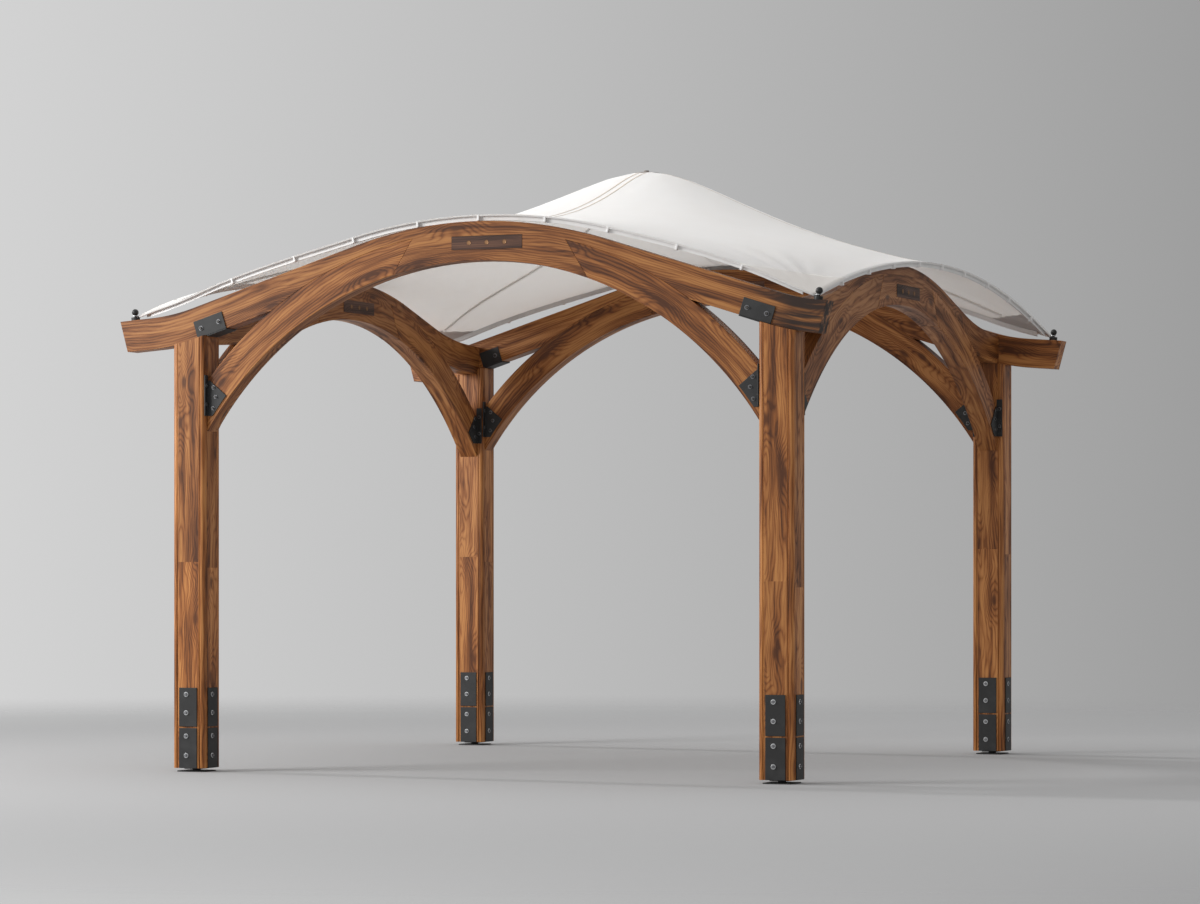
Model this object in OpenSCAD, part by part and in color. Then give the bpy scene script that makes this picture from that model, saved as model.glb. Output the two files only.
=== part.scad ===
// Arched timber pergola with a peaked fabric canopy.
// Origin: on the floor, under the middle of the four posts. +X runs along the
// front, +Y runs from front to back, +Z is up. All sizes are in millimetres.

/* [Plan] */
// Spacing of the posts along the front, centre to centre
span_x = 3300; // [2600:50:4200]
// Spacing of the posts from front to back, centre to centre
span_y = 3600; // [2800:50:4400]

/* [Posts] */
// Side of the square posts
post_w = 185; // [150:5:220]
// Radius of the rounded bead on each corner of a post
bead_r = 20; // [12:1:26]
// Radius of the groove beside each bead
groove_r = 3.5; // [2:0.5:5]
// Clear height between the floor and the foot of the timber
foot_h = 20; // [16:1:40]

/* [Beams] */
// Thickness of the beams and braces, across their frame
beam_t = 110; // [90:5:140]
// Depth of the beams, from top to underside
beam_d = 165; // [140:5:200]
// Height of the top of the front and back beams, at mid-span
front_apex = 2861; // [2700:1:3000]
// Rise of the side beams, at mid-span, over the front beam at the post
side_crown = 259; // [150:1:300]
// How far the beams run past the centre of a post
overhang = 430; // [340:5:480]
// How far the front beam runs past the front right post
short_overhang = 256; // [210:2:430]
// How far the end cut of a beam leans in, from top to underside
end_lean = 44; // [0:1:60]

/* [Braces] */
// Depth of the front and back arch braces
front_brace_d = 155; // [130:5:175]
// Depth of the side arch braces
side_brace_d = 168; // [130:2:180]
// Height of the foot of the front and back arches
front_foot_z = 1800; // [1600:10:1900]
// Height of the foot of the side arches
side_foot_z = 1760; // [1600:10:1900]
// How far the front and back arches drop below their beams at mid-span
front_drop = 37; // [20:1:60]
// How far the side arches drop below their beams at mid-span
side_drop = 50; // [20:1:60]
// Half the length of the crown between the two braces of an arch
crown_half = 400; // [360:10:460]
// How far the crown and its panel sit to the right of mid-span, or to the back of it
crown_shift = 60; // [0:5:80]
// How much further out the joint at the crown lies at its foot
scarf_lean = 95; // [40:5:120]

/* [Steel] */
// Thickness of every steel plate
plate_t = 6; // [4:1:8]
// Width of the plates at the foot of the posts
strap_w = 105; // [80:5:110]
// Height of the upper foot plate
upper_strap_h = 205; // [150:5:260]
// Height of the lower foot plate
lower_strap_h = 212; // [150:4:260]
// Slit between the upper and the lower foot plate
strap_slit = 8; // [4:1:14]
// Length of the saddle plates along the beam
saddle_l = 176; // [140:4:190]
// Height of the saddle plates
saddle_h = 92; // [70:2:110]
// Height of the brackets at the feet of the braces
bracket_h = 215; // [170:5:240]
// Side of the plate that each post stands on
base_w = 150; // [130:5:170]
// Spacing of the anchor holes in that plate
anchor_spacing = 112; // [96:2:120]
// Diameter of the anchor holes
anchor_hole_d = 12; // [8:1:14]

/* [Canopy] */
// Height of the peak of the canopy
peak_z = 3282; // [3150:1:3400]
// Sideways place of the peak
peak_x = 150; // [-200:10:200]
// Front-to-back place of the peak
peak_y = 130; // [-150:10:150]
// Thickness of the fabric
fabric_t = 3; // [2:0.5:4]
// Height of the edge rails
rail_h = 26; // [20:1:34]
// Thickness of the edge rails
rail_t = 10; // [8:1:14]
// Diameter of the battens under the diagonal seams
batten_d = 14; // [10:1:18]
// Rise of the side edges above the corners
side_rise = 284; // [240:2:300]

/* [Crown panels] */
// Length of the inlaid panels
panel_l = 396; // [300:4:420]
// Height of the inlaid panels
panel_h = 70; // [60:2:90]

/* [Hidden] */

timber = "#b0763f";
steel = "#2c2e31";
cloth = "#f2efe9";
alloy = "#c4c6c8";
dark_panel = "#4a2f20";

left = -1;
right = 1;
front = -1;
back = 1;

round_fn = 64;
arc_steps = 14;
arch_fn = 720;
far = 9000;
seat_gap = 0.3;
front_panel_lift = 91;
side_panel_lift = 75;

post_x = span_x / 2;
post_y = span_y / 2;
post_half = post_w / 2;
beam_half = beam_t / 2;

// A frame is the shape of one beam and its arch, seen square on:
// [apex, crown radius, slope, start of the end curve, end curve radius, end slope,
//  brace depth, foot height, distance from mid-span to the face of the post, drop of the
//  arch below the beam, height of the panel's middle above the arch's underside]
end_curve_x = post_x - 10;
front_frame = [front_apex, 2300, 17.5, end_curve_x, 1125, 4.5,
    front_brace_d, front_foot_z, post_x - post_half, front_drop, front_panel_lift];
side_curve_x = post_y - 700;
side_frame = [beam_top(post_x) + side_crown, 2700, 15, side_curve_x, 2227, 3,
    side_brace_d, side_foot_z, post_y - post_half, side_drop, side_panel_lift];

// The beam's top, from mid-span outwards, as [x, z, slope].
function crown_x(f) = f[1] * sin(f[2]);
function crown_z(f) = f[0] - f[1] * (1 - cos(f[2]));
function curve_z(f) = crown_z(f) - (f[3] - crown_x(f)) * tan(f[2]);
function crown_arc(f) =
    [for (i = [0:arc_steps]) let (a = f[2] * i / arc_steps)
        [f[1] * sin(a), f[0] - f[1] * (1 - cos(a)), a]];
function end_arc(f) =
    [for (i = [0:arc_steps]) let (a = f[2] + (f[5] - f[2]) * i / arc_steps)
        [f[3] + f[4] * (sin(f[2]) - sin(a)), curve_z(f) - f[4] * (cos(a) - cos(f[2])), a]];
function last(list) = list[len(list) - 1];
function beyond(p, x) = [x, p[1] - (x - p[0]) * tan(p[2]), p[2]];
function before(list, x) = [for (p = list) if (p[0] < max(x - 1, 0.1)) p];
function top_line(f, reach) =
    let (all = concat(crown_arc(f), end_arc(f)), kept = before(all, reach))
    concat(kept, [beyond(last(kept), reach)]);
function under(p, depth) = [p[0] - depth * sin(p[2]), p[1] - depth * cos(p[2]), p[2]];
function flat(list) = [for (p = list) [p[0], p[1]]];
function flipped(list) = [for (i = [len(list) - 1:-1:0]) list[i]];
function mirrored(list) = [for (p = list) [-p[0], p[1]]];

// The underside, as far as a place that is given along X.
function under_line(f, depth, reach) =
    let (all = [for (p = concat(crown_arc(f), end_arc(f))) under(p, depth)],
        kept = before(all, reach))
    concat(kept, [beyond(last(kept), reach)]);

function trimmed(list) = [for (i = [1:len(list) - 1]) list[i]];

// A beam's outline, without its arch.
module band(f, reach_left, reach_right, lean) {
    polygon(concat(
        flipped(mirrored(flat(top_line(f, reach_left)))),
        trimmed(flat(top_line(f, reach_right))),
        flipped(flat(under_line(f, beam_d, reach_right - lean))),
        trimmed(mirrored(flat(under_line(f, beam_d, reach_left - lean))))));
}

// The arch: a ring through the crown's underside and the foot at the post's face.
function soffit_z(f) = f[0] - beam_d - f[9];
function arch_r(f) =
    let (rise = soffit_z(f) - f[7]) (f[8] * f[8] + rise * rise) / (2 * rise);
function arch_z(f) = soffit_z(f) - arch_r(f);
function arch_outer(f) = arch_r(f) + f[6];

module arch_ring(f, grow = 0) {
    translate([0, arch_z(f)]) difference() {
        circle(arch_outer(f) + grow, $fn = arch_fn);
        circle(arch_r(f) - grow, $fn = arch_fn);
    }
}

// How far from mid-span the crown's joints end, well below the arch.
crown_reach = crown_half + crown_shift + 2 * scarf_lean + 100;

// The ground outside the crown's joint, on one side of mid-span. The side is 1 for the
// right of a front frame or the back of a side frame, and -1 for the other one.
module outside_crown(f, side, grow = 0) {
    top = arch_z(f) + arch_outer(f) + grow;
    foot = soffit_z(f) - 120;
    lean = scarf_lean * (top - foot) / f[6];
    edge = crown_half + side * crown_shift - grow;
    polygon([[edge, top], [far, top], [far, -far], [edge + lean, -far], [edge + lean, foot]]);
}

module brace_outline(f, side) {
    intersection() {
        arch_ring(f);
        outside_crown(f, side);
        square([f[8], far]);
    }
}

module brace_housing(f, side) {
    intersection() {
        arch_ring(f, seat_gap);
        outside_crown(f, side, seat_gap);
    }
}

// The middle of the arch, which is one piece with the beam.
module crown_outline(f) {
    difference() {
        intersection() {
            arch_ring(f);
            translate([-crown_reach, soffit_z(f) - 150]) square([2 * crown_reach, 150 + f[6]]);
        }
        outside_crown(f, 1, seat_gap);
        mirror([1, 0]) outside_crown(f, -1, seat_gap);
    }
}

// Stands an outline up in the plane of a frame, with its thickness centred.
module stand(thickness) {
    rotate([90, 0, 0]) linear_extrude(thickness, center = true) children();
}

// Turns a front frame into the right-hand side frame.
module turn_side() {
    rotate([0, 0, 90]) children();
}

// Posts

module post_section() {
    difference() {
        union() {
            square([post_w, post_w - 2 * bead_r], center = true);
            square([post_w - 2 * bead_r, post_w], center = true);
            for (x = [-1, 1], y = [-1, 1])
                translate([x, y] * (post_half - bead_r)) circle(bead_r, $fn = round_fn);
        }
        groove = post_half - bead_r - groove_r - 3;
        for (a = [0:90:270], s = [-1, 1])
            rotate(a) translate([post_half, s * groove]) circle(groove_r, $fn = round_fn);
    }
}

// What lies above the underside of a beam, out to a given place.
module above_soffit(f, reach) {
    polygon(concat(flat(under_line(f, beam_d, reach)), [[reach, far], [0, far]]));
}

module post(sx, sy) {
    color(timber) difference() {
        translate([sx * post_x, sy * post_y, foot_h])
            linear_extrude(front_apex - foot_h) post_section();
        translate([0, sy * post_y, 0]) mirror([sx < 0 ? 1 : 0, 0, 0])
            stand(2 * post_w) above_soffit(front_frame, post_x + post_w);
        translate([sx * post_x, 0, 0]) mirror([0, sy < 0 ? 1 : 0, 0]) turn_side()
            stand(beam_t) above_soffit(side_frame, post_y - beam_half);
    }
}

// The steel foot: a plate with anchor holes, a stub and a plate under the timber.
stub_d = 44;
cap_w = 96;

module foot(sx, sy) {
    color(steel) translate([sx * post_x, sy * post_y, 0]) difference() {
        union() {
            translate([-base_w / 2, -base_w / 2, 0]) cube([base_w, base_w, plate_t]);
            cylinder(d = stub_d, h = foot_h - plate_t / 2, $fn = round_fn);
            translate([-cap_w / 2, -cap_w / 2, foot_h - plate_t])
                cube([cap_w, cap_w, plate_t]);
        }
        for (x = [-1, 1], y = [-1, 1])
            translate([x * anchor_spacing / 2, y * anchor_spacing / 2, -1])
                cylinder(d = anchor_hole_d, h = plate_t + 2, $fn = round_fn);
    }
}

module strap_pair() {
    translate([-strap_w / 2, post_half, foot_h]) cube([strap_w, plate_t, lower_strap_h]);
    translate([-strap_w / 2, post_half, foot_h + lower_strap_h + strap_slit])
        cube([strap_w, plate_t, upper_strap_h]);
}

module straps(sx, sy) {
    color(steel) translate([sx * post_x, sy * post_y, 0])
        for (a = [0:90:270]) rotate(a) strap_pair();
}

// Beams

panel_pocket = 3;
panel_t = 5;

module panel_places(f) {
    for (s = [-1, 1])
        translate([crown_shift - panel_l / 2,
            s * (beam_half - panel_pocket) - (s < 0 ? panel_t : 0),
            soffit_z(f) + f[10] - panel_h / 2])
            cube([panel_l, panel_t, panel_h]);
}

module crown_beam(f, reach_left, reach_right, lean) {
    color(timber) difference() {
        union() {
            difference() {
                stand(beam_t) band(f, reach_left, reach_right, lean);
                stand(beam_t + 2) brace_housing(f, 1);
                stand(beam_t + 2) mirror([1, 0]) brace_housing(f, -1);
            }
            stand(beam_t) crown_outline(f);
        }
        panel_places(f);
    }
}

reach = post_x + overhang;
short_reach = post_x + short_overhang;
side_reach = post_y - beam_half;

module beam_front() {
    translate([0, -post_y, 0]) crown_beam(front_frame, reach, short_reach, end_lean);
}

module beam_back() {
    translate([0, post_y, 0]) crown_beam(front_frame, reach, reach, end_lean);
}

module beam_side(sx) {
    translate([sx * post_x, 0, 0]) turn_side() crown_beam(side_frame, side_reach, side_reach, 0);
}

// Braces

module brace_along(sx, sy) {
    color(timber) translate([0, sy * post_y, 0]) mirror([sx < 0 ? 1 : 0, 0, 0])
        stand(beam_t) brace_outline(front_frame, sx);
}

module brace_side(sx, sy) {
    color(timber) translate([sx * post_x, 0, 0]) mirror([0, sy < 0 ? 1 : 0, 0])
        turn_side() stand(beam_t) brace_outline(side_frame, sy);
}

// Steel brackets at the feet of the braces

gusset_inset = 16;
gusset_l = 112;
leg_w = post_half - beam_half - 4;
bracket_lift = 82;

module gusset_outline(f) {
    mid_r = arch_r(f) + f[6] / 2;
    cut_a = asin(f[8] / mid_r) - gusset_l / mid_r * 180 / PI;
    intersection() {
        translate([0, arch_z(f)]) difference() {
            circle(arch_outer(f) - gusset_inset / 2, $fn = arch_fn);
            circle(arch_r(f) + gusset_inset, $fn = arch_fn);
        }
        translate([0, f[7] + bracket_lift]) square([f[8], far]);
        translate([0, arch_z(f)]) rotate(-90 - cut_a) translate([-far, 0]) square([far, far]);
    }
}

module bracket(f) {
    for (s = [-1, 1]) {
        translate([0, s * (beam_half + plate_t / 2), 0]) stand(plate_t) gusset_outline(f);
        translate([f[8] - plate_t, s > 0 ? beam_half : -beam_half - leg_w, f[7] + bracket_lift])
            cube([plate_t, leg_w, bracket_h]);
    }
}

module brackets(sx, sy) {
    color(steel) {
        translate([0, sy * post_y, 0]) mirror([sx < 0 ? 1 : 0, 0, 0]) bracket(front_frame);
        translate([sx * post_x, 0, 0]) mirror([0, sy < 0 ? 1 : 0, 0]) turn_side()
            bracket(side_frame);
    }
}

// Saddles: a U of steel plate under each beam, beside the head of the post

module saddle_outline(low, high, x0, x1) {
    s = front_frame[2];
    z0 = curve_z(front_frame) - beam_d * cos(s);
    x_soffit = end_curve_x - beam_d * sin(s);
    polygon([for (c = [[x0, low], [x1, low], [x1, high], [x0, high]])
        let (z = z0 - (c[0] - x_soffit) * tan(s))
            [c[0] + c[1] * sin(s), z + c[1] * cos(s)]]);
}

module saddle(sx, sy) {
    s = front_frame[2];
    x1 = end_curve_x - beam_d * sin(s) + 20;
    x0 = x1 - saddle_l * cos(s);
    x_inner = min(x1, post_x - beam_half - 2 - saddle_h * sin(s));
    color(steel) translate([0, sy * post_y, 0]) mirror([sx < 0 ? 1 : 0, 0, 0]) {
        for (side = [-1, 1])
            translate([0, side * (beam_half + plate_t / 2), 0]) stand(plate_t)
                saddle_outline(seat_gap, saddle_h, x0, side == sy ? x1 : x_inner);
        stand(beam_t + 2 * plate_t)
            saddle_outline(-plate_t, -seat_gap, x0, front_frame[8] - 2);
    }
}

// Inlaid panels on both faces of each crown

module crown_panels() {
    color(dark_panel) {
        for (s = [-1, 1]) {
            translate([0, s * post_y, 0]) panel_places(front_frame);
            translate([s * post_x, 0, 0]) turn_side() panel_places(side_frame);
        }
    }
}

// Anchors: a ball-headed pin on the top of each beam end

anchor_inset = 64;
pin_d = 14;
ball_d = 36;
pin_h = 46;
collar_d = 46;
collar_h = 19;
anchor_gap = 0.5;

function anchor_reach(sx, sy) = (sx > 0 && sy < 0 ? short_reach : reach) - anchor_inset;
function beam_top(x) = last(top_line(front_frame, x))[1];
function top_slope(x) = last(top_line(front_frame, x))[2];

module anchor(sx, sy) {
    x = anchor_reach(sx, sy);
    color(steel) mirror([sx < 0 ? 1 : 0, 0, 0])
        translate([x, sy * post_y, beam_top(x) + anchor_gap])
        rotate([0, top_slope(x), 0]) {
            cylinder(d = collar_d, h = collar_h, $fn = round_fn);
            cylinder(d = pin_d, h = pin_h, $fn = round_fn);
            translate([0, 0, pin_h]) sphere(d = ball_d, $fn = round_fn);
        }
}

// Canopy: a surface over u and v, both from 0 to 1, from front left to back right.
// The edges are arches, and the peak is drawn up out of the sheet between them.

canopy_steps = 36;
peak_round = 0.23;
harmonic = 90;
corner_gap = pin_d / 2 + 3;
corner_seat = 1.1;
front_edge_out = 45;
crown_clear = 4;
haunch_lift = 62;
corner_lift = anchor_gap + collar_h + corner_seat + fabric_t;
crown_lift = rail_h + fabric_t + crown_clear;

function mix(a, b, t) = a + (b - a) * t;
function cosh_deg(a) = (exp(a * PI / 180) + exp(-a * PI / 180)) / 2;
function spread(c) = cosh_deg(harmonic * c) / cosh_deg(harmonic);
function peak_shape(a, b) =
    let (r2 = 1 - (1 - a * a) * (1 - b * b), c2 = peak_round * peak_round)
    ln((1 + c2) / (r2 + c2)) / ln((1 + c2) / c2);

function corner_x(sx, sy) = sx * (anchor_reach(sx, sy) - corner_gap);
function edge_x(u, sy) = mix(corner_x(-1, sy), corner_x(1, sy), u);

// The front and back edges follow the beams, and lift off them over the haunches.
function edge_lift(a) = mix(crown_lift, corner_lift, a) + 4 * haunch_lift * a * a * (1 - a * a);
function edge_z(u, sy) = beam_top(abs(edge_x(u, sy))) + edge_lift(abs(2 * u - 1));
function corners_z(u, v) =
    mix(mix(edge_z(0, -1), edge_z(1, -1), u), mix(edge_z(0, 1), edge_z(1, 1), u), v);
function edges_z(u, v) =
    let (a = abs(2 * u - 1), b = abs(2 * v - 1))
    corners_z(u, v) + side_rise * (1 - b * b) * spread(a)
        + mix(edge_z(u, -1) - corners_z(u, 0), edge_z(u, 1) - corners_z(u, 1), v) * spread(b);
peak_rise = peak_z - edges_z(0.5, 0.5);

function canopy_z(u, v) = edges_z(u, v) + peak_rise * peak_shape(2 * u - 1, 2 * v - 1);
function canopy_x(u, v) =
    let (a = 2 * u - 1, b = 2 * v - 1, middle = mix(edge_x(0.5, -1), edge_x(0.5, 1), 0.5))
    mix(edge_x(u, -1), edge_x(u, 1), v) + (peak_x - middle) * (1 - a * a) * (1 - b * b);
function canopy_y(u, v) =
    let (a = 2 * u - 1, b = 2 * v - 1)
    b * (post_y + front_edge_out * (1 - a * a)) + peak_y * (1 - a * a) * (1 - b * b);
function canopy_at(u, v, drop) = [canopy_x(u, v), canopy_y(u, v), canopy_z(u, v) - drop];

// A closed sheet between two surfaces of n by m cells.
function sheet_points(n, m, drop) =
    [for (k = [0, drop], j = [0:m], i = [0:n]) canopy_at(i / n, j / m, k)];
function sheet_faces(n, m) =
    let (w = n + 1, deck = (n + 1) * (m + 1))
    concat(
        [for (j = [0:m - 1], i = [0:n - 1]) let (p = j * w + i)
            each [[p, p + w, p + 1], [p + 1, p + w, p + w + 1]]],
        [for (j = [0:m - 1], i = [0:n - 1]) let (p = deck + j * w + i)
            each [[p, p + 1, p + w], [p + 1, p + w + 1, p + w]]],
        [for (i = [0:n - 1]) each [[i, i + 1, deck + i], [i + 1, deck + i + 1, deck + i]]],
        [for (i = [0:n - 1]) let (p = m * w + i)
            each [[p, deck + p, p + 1], [p + 1, deck + p, deck + p + 1]]],
        [for (j = [0:m - 1]) let (p = j * w)
            each [[p, deck + p, p + w], [p + w, deck + p, deck + p + w]]],
        [for (j = [0:m - 1]) let (p = j * w + n)
            each [[p, p + w, deck + p], [p + w, deck + p + w, deck + p]]]);

module canopy() {
    n = canopy_steps;
    color(cloth) polyhedron(sheet_points(n, n, fabric_t), sheet_faces(n, n));
}

// A bar of a given section, swept through rings of points.
function tube_faces(rings, sides) =
    concat(
        [[for (i = [0:sides - 1]) i]],
        [for (r = [0:rings - 2], i = [0:sides - 1])
            let (p = r * sides + i, q = r * sides + (i + 1) % sides)
            each [[p, p + sides, q], [q, p + sides, q + sides]]],
        [[for (i = [sides - 1:-1:0]) (rings - 1) * sides + i]]);

function turned(faces) = [for (f = faces) flipped(f)];

// Edge rails: flat bars on edge, under the hem.
rail_inset = 14;
rail_gap = 0.7;
rail_ends = 0.02;

function lowered(p, drop) = [p[0], p[1], p[2] - drop];
function rail_ring(outer, inner) = [outer, inner, lowered(inner, rail_h), lowered(outer, rail_h)];

module rail_along(sy) {
    n = canopy_steps;
    from = rail_inset / span_y;
    to = (rail_inset + rail_t) / span_y;
    rings = [for (i = [0:n]) let (u = mix(rail_ends, 1 - rail_ends, i / n))
        rail_ring(canopy_at(u, sy < 0 ? from : 1 - from, fabric_t + rail_gap),
            canopy_at(u, sy < 0 ? to : 1 - to, fabric_t + rail_gap))];
    faces = tube_faces(n + 1, 4);
    color(alloy) polyhedron([for (r = rings) each r], sy < 0 ? faces : turned(faces));
}

module rail_side(sx) {
    n = canopy_steps;
    from = rail_inset / span_x;
    to = (rail_inset + rail_t) / span_x;
    rings = [for (i = [0:n]) let (v = mix(rail_ends, 1 - rail_ends, i / n))
        rail_ring(canopy_at(sx < 0 ? from : 1 - from, v, fabric_t + rail_gap),
            canopy_at(sx < 0 ? to : 1 - to, v, fabric_t + rail_gap))];
    faces = tube_faces(n + 1, 4);
    color(alloy) polyhedron([for (r = rings) each r], sx < 0 ? turned(faces) : faces);
}

// Battens: round rods under the four diagonal seams, from the corners to the peak.
batten_rings = 26;
batten_sides = 8;
batten_from = 0.06;
batten_to = 0.475;
batten_drop = batten_d * 0.6 + 1.3;

function batten_ring(sx, sy, t) =
    let (u = 0.5 + sx * (0.5 - t), v = 0.5 + sy * (0.5 - t),
        p = canopy_at(u, v, fabric_t), w = [sy, -sx] / sqrt(2))
    [for (i = [0:batten_sides - 1]) let (a = 360 * (i + 0.5) / batten_sides, r = batten_d / 2)
        [p[0] + w[0] * r * cos(a), p[1] + w[1] * r * cos(a), p[2] + r * sin(a) - batten_drop]];

module battens() {
    color(alloy) for (sx = [-1, 1], sy = [-1, 1]) {
        rings = [for (i = [0:batten_rings])
            batten_ring(sx, sy, mix(batten_from, batten_to, i / batten_rings))];
        polyhedron([for (r = rings) each r], tube_faces(batten_rings + 1, batten_sides));
    }
}

// Peak cap: a shallow cone clamped over the fabric.
cap_r = 74;
cap_drop = 6;
cap_t = 5;

module peak_cap() {
    color(steel) translate([peak_x, peak_y, peak_z + seat_gap]) rotate_extrude($fn = round_fn)
        polygon([[0, 0], [cap_r, -cap_drop], [cap_r, cap_t - cap_drop], [14, cap_t + 3],
            [14, cap_t + 9], [0, cap_t + 9]]);
}

post(left, front);  // post_front_left
post(right, front);  // post_front_right
post(left, back);  // post_back_left
post(right, back);  // post_back_right
foot(left, front);  // foot_front_left
foot(right, front);  // foot_front_right
foot(left, back);  // foot_back_left
foot(right, back);  // foot_back_right
straps(left, front);  // straps_front_left
straps(right, front);  // straps_front_right
straps(left, back);  // straps_back_left
straps(right, back);  // straps_back_right
beam_front();
beam_back();
beam_side(left);  // beam_left
beam_side(right);  // beam_right
brace_along(left, front);  // brace_front_left
brace_along(right, front);  // brace_front_right
brace_along(left, back);  // brace_back_left
brace_along(right, back);  // brace_back_right
brace_side(left, front);  // brace_left_front
brace_side(left, back);  // brace_left_back
brace_side(right, front);  // brace_right_front
brace_side(right, back);  // brace_right_back
brackets(left, front);  // brackets_front_left
brackets(right, front);  // brackets_front_right
brackets(left, back);  // brackets_back_left
brackets(right, back);  // brackets_back_right
saddle(left, front);  // saddle_front_left
saddle(right, front);  // saddle_front_right
saddle(left, back);  // saddle_back_left
saddle(right, back);  // saddle_back_right
anchor(left, front);  // anchor_front_left
anchor(right, front);  // anchor_front_right
anchor(left, back);  // anchor_back_left
anchor(right, back);  // anchor_back_right
crown_panels();
canopy();
rail_along(front);  // rail_front
rail_along(back);  // rail_back
rail_side(left);  // rail_left
rail_side(right);  // rail_right
battens();
peak_cap();
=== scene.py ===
# %% [markdown]
# A garden pergola: four laminated posts, curved roof beams with arch braces under them,
# black steel plates, and a white canopy pulled to a peak. The timber and steel are already
# solid in the frame, so this file gives them their finish and adds what is sewn or bolted on.

# %% Load the frame
import math

import bmesh
import bpy
from mathutils import Matrix, Vector
from mathutils.bvhtree import BVHTree


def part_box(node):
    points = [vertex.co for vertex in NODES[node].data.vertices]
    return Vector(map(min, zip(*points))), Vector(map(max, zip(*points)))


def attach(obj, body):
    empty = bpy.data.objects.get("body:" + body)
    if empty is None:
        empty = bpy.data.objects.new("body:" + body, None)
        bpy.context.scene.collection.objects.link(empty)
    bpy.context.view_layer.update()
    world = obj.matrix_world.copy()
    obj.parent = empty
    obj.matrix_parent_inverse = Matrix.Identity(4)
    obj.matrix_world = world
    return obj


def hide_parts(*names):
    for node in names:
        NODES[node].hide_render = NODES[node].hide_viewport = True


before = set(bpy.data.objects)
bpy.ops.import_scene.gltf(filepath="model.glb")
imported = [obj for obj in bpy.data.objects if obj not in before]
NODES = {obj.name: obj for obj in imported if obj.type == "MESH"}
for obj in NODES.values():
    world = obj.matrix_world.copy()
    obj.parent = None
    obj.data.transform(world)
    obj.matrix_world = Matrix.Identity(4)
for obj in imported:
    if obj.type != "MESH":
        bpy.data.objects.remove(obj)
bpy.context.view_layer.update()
SIDES = ((-1, "left"), (1, "right"))
ENDS = ((-1, "front"), (1, "back"))
print("nodes:", len(NODES))

# %% [markdown]
# The camera is a long lens at waist height, a good way off. It looks level, and a shift
# brings the whole pergola into the frame. A tilt would do that too, but then the posts
# would lean together.

# %% Camera
VIEW_TURN = math.radians(22.44)
scene = bpy.context.scene
scene.view_settings.view_transform = "Standard"
camera_data = bpy.data.cameras.new("camera")
camera_data.sensor_width = 36
camera_data.lens = 121.4
camera_data.shift_y = 0.1009
camera_data.clip_end = 200
camera = bpy.data.objects.new("camera", camera_data)
camera.location = (8.5286, -20.8367, 1.0513)
camera.rotation_euler = (math.radians(90), 0, VIEW_TURN)
scene.collection.objects.link(camera)
scene.camera = camera
print("camera turned", round(math.degrees(VIEW_TURN), 2), "degrees")

# %% [markdown]
# Every material is a small net of nodes. Two helpers keep the nets readable: one adds a
# node and links or sets its inputs, the other is the maths node.

# %% Node helpers


def add(net, kind, inputs=(), **settings):
    """Adds a node. A socket given as an input is linked, and a value is set."""
    node = net.nodes.new("ShaderNode" + kind)
    for key, value in settings.items():
        setattr(node, key, value)
    for key, value in dict(inputs).items():
        if isinstance(value, bpy.types.NodeSocket):
            net.links.new(value, node.inputs[key])
        else:
            node.inputs[key].default_value = value
    return node


def maths(net, operation, a, b=0.0, clamp=False):
    return add(net, "Math", {0: a, 1: b}, operation=operation, use_clamp=clamp).outputs[0]


def blend_colour(net, factor, a, b, kind="MIX"):
    node = add(net, "Mix", {0: factor, 6: a, 7: b}, data_type="RGBA", blend_type=kind)
    return node.outputs[2]


def vector(net, x, y, z):
    return add(net, "CombineXYZ", {0: x, 1: y, 2: z}).outputs[0]


def noise(net, place, scale, detail):
    node = add(net, "TexNoise", {"Vector": place, "Scale": scale, "Detail": detail})
    return node.outputs[0]


def new_group(name, inputs, outputs):
    """Starts a node group, and returns its net with its two ends."""
    group = bpy.data.node_groups.new(name, "ShaderNodeTree")
    for direction, sockets in (("INPUT", inputs), ("OUTPUT", outputs)):
        for label, kind in sockets:
            group.interface.new_socket(label, in_out=direction, socket_type="NodeSocket" + kind)
    start = group.nodes.new("NodeGroupInput")
    end = group.nodes.new("NodeGroupOutput")
    return group, start.outputs, end.inputs


# %% [markdown]
# Timber is the finish that carries this object. An image wrapped on each face would not
# meet at the edges, so the wood is worked out in depth, from how far along, how deep and
# how far across the board a point lies. Three noises, all longer along the board than
# across it, give its flames, its streaks and its fibres. Each board has its own number,
# which moves the pattern and changes its tone, as boards of different trees do.

# %% Timber group
BOARD_SHIFT = 17.3

group, start, end = new_group(
    "timber",
    (("Grain", "Vector"), ("Board", "Float"), ("Lively", "Float"), ("Stain", "Float"),
     ("Light", "Color"), ("Middle", "Color"), ("Dark", "Color"), ("Ring Gap", "Float"),
     ("Figure", "Float")),
    (("Color", "Color"), ("Roughness", "Float"), ("Height", "Float")),
)
parts = add(group, "SeparateXYZ", {0: start["Grain"]}).outputs
along, depth, across = parts[0], parts[1], parts[2]
phase = maths(group, "MULTIPLY", start["Board"], BOARD_SHIFT)
shifted = maths(group, "ADD", along, phase)


def stretched(length_scale, cross_scale):
    """The grain's coordinates, longer along the board than across it."""
    return vector(group, maths(group, "MULTIPLY", shifted, length_scale),
                  maths(group, "MULTIPLY", depth, cross_scale),
                  maths(group, "MULTIPLY", across, cross_scale))


flame = noise(group, stretched(1.5, 6.5), 1.0, 3.5)
streak = noise(group, stretched(1.7, 26.0), 1.0, 6.0)
fibre = noise(group, stretched(9.0, 300.0), 1.0, 3.0)
print("timber group takes", ", ".join(socket.name for socket in start if socket.name))

# %% [markdown]
# A knot is where a branch grew out. The cells of a Voronoi pattern give knots their places,
# because its points are spread more evenly than spots of noise are. The pattern is flat,
# along the board and round its faces, so that a knot is never a thin slice of a ball.

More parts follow.
